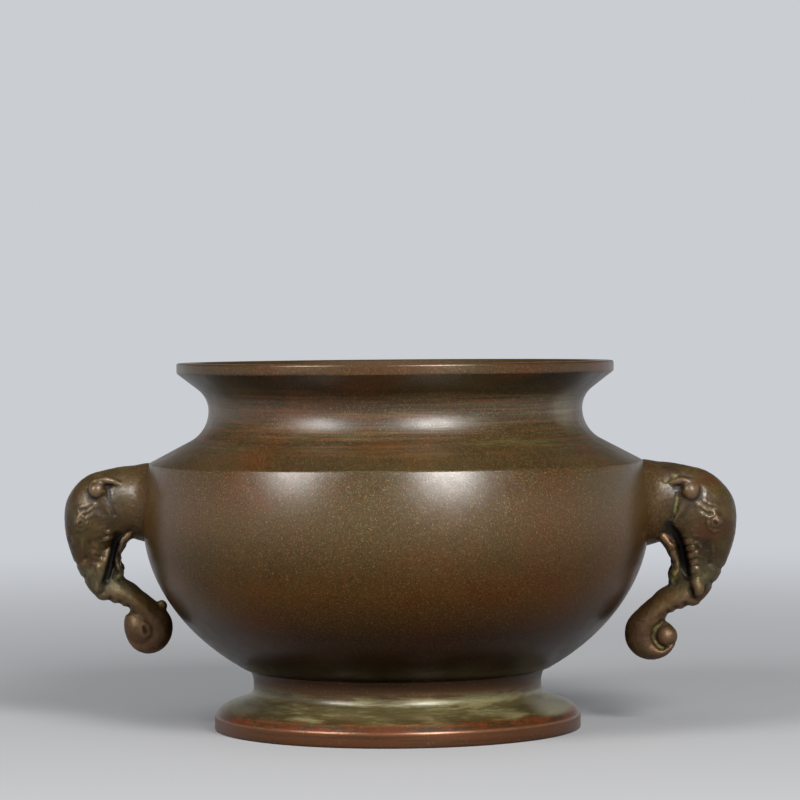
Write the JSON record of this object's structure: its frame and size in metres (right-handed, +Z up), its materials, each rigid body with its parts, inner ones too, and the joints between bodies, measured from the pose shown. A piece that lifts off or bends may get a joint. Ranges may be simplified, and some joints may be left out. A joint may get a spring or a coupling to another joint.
{
  "type": "incense burner",
  "caption": "Bronze incense burner: a wide round bowl with a waisted neck and flat lip on a flared foot ring, with elephant-head handles whose trunks curl up.",
  "frame": {"origin": "centre of the circle on which the foot ring stands, on the table", "axes": "+Z up along the bowl's turning axis, +X towards the right handle as the picture shows it, +Y away from the picture's viewer"},
  "size_m": [0.1854, 0.1396, 0.1009],
  "materials": {
    "bowl": "turned and waxed bronze, brown-olive patina with fine golden and reddish speckle",
    "foot": "turned bronze with a grey-green patina, worn to red-brown at the band",
    "handle": "cast bronze, dark brown with green in the recesses and bare metal on the high points",
    "rivet": "hammered bronze"
  },
  "bodies": {
    "root": {"bowl": "bowl", "foot_ring": "foot", "right_elephant_handle": "handle", "left_elephant_handle": "handle", "right_upper_rivet": "rivet", "right_lower_rivet": "rivet", "left_upper_rivet": "rivet", "left_lower_rivet": "rivet"}
  },
  "joints": []
}
